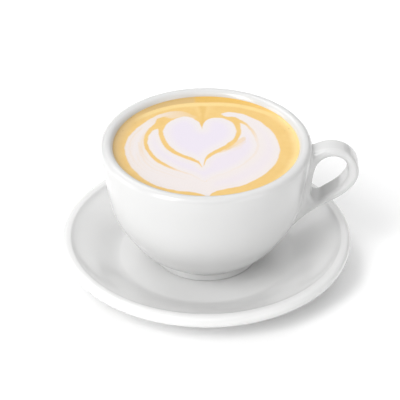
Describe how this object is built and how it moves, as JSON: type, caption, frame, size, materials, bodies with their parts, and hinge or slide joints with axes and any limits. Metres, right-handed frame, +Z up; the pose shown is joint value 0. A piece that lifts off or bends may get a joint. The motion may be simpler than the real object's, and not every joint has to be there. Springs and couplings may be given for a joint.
{
  "type": "latte",
  "caption": "Latte with milk-foam art in a thick white porcelain cup with a loop handle, standing on its deep saucer.",
  "frame": {"origin": "centre of the saucer's foot ring, on the table plane", "axes": "+Z up along the shared axis of cup and saucer, +X from that axis towards the cup's handle"},
  "size_m": [0.1451, 0.1426, 0.0707],
  "materials": {
    "porcelain": "smooth white glaze, glossy",
    "drink": "fine coffee foam, soft sheen, golden brown with white milk"
  },
  "bodies": {
    "root": {"saucer": "porcelain", "cup": "porcelain", "latte": "drink"}
  },
  "joints": []
}
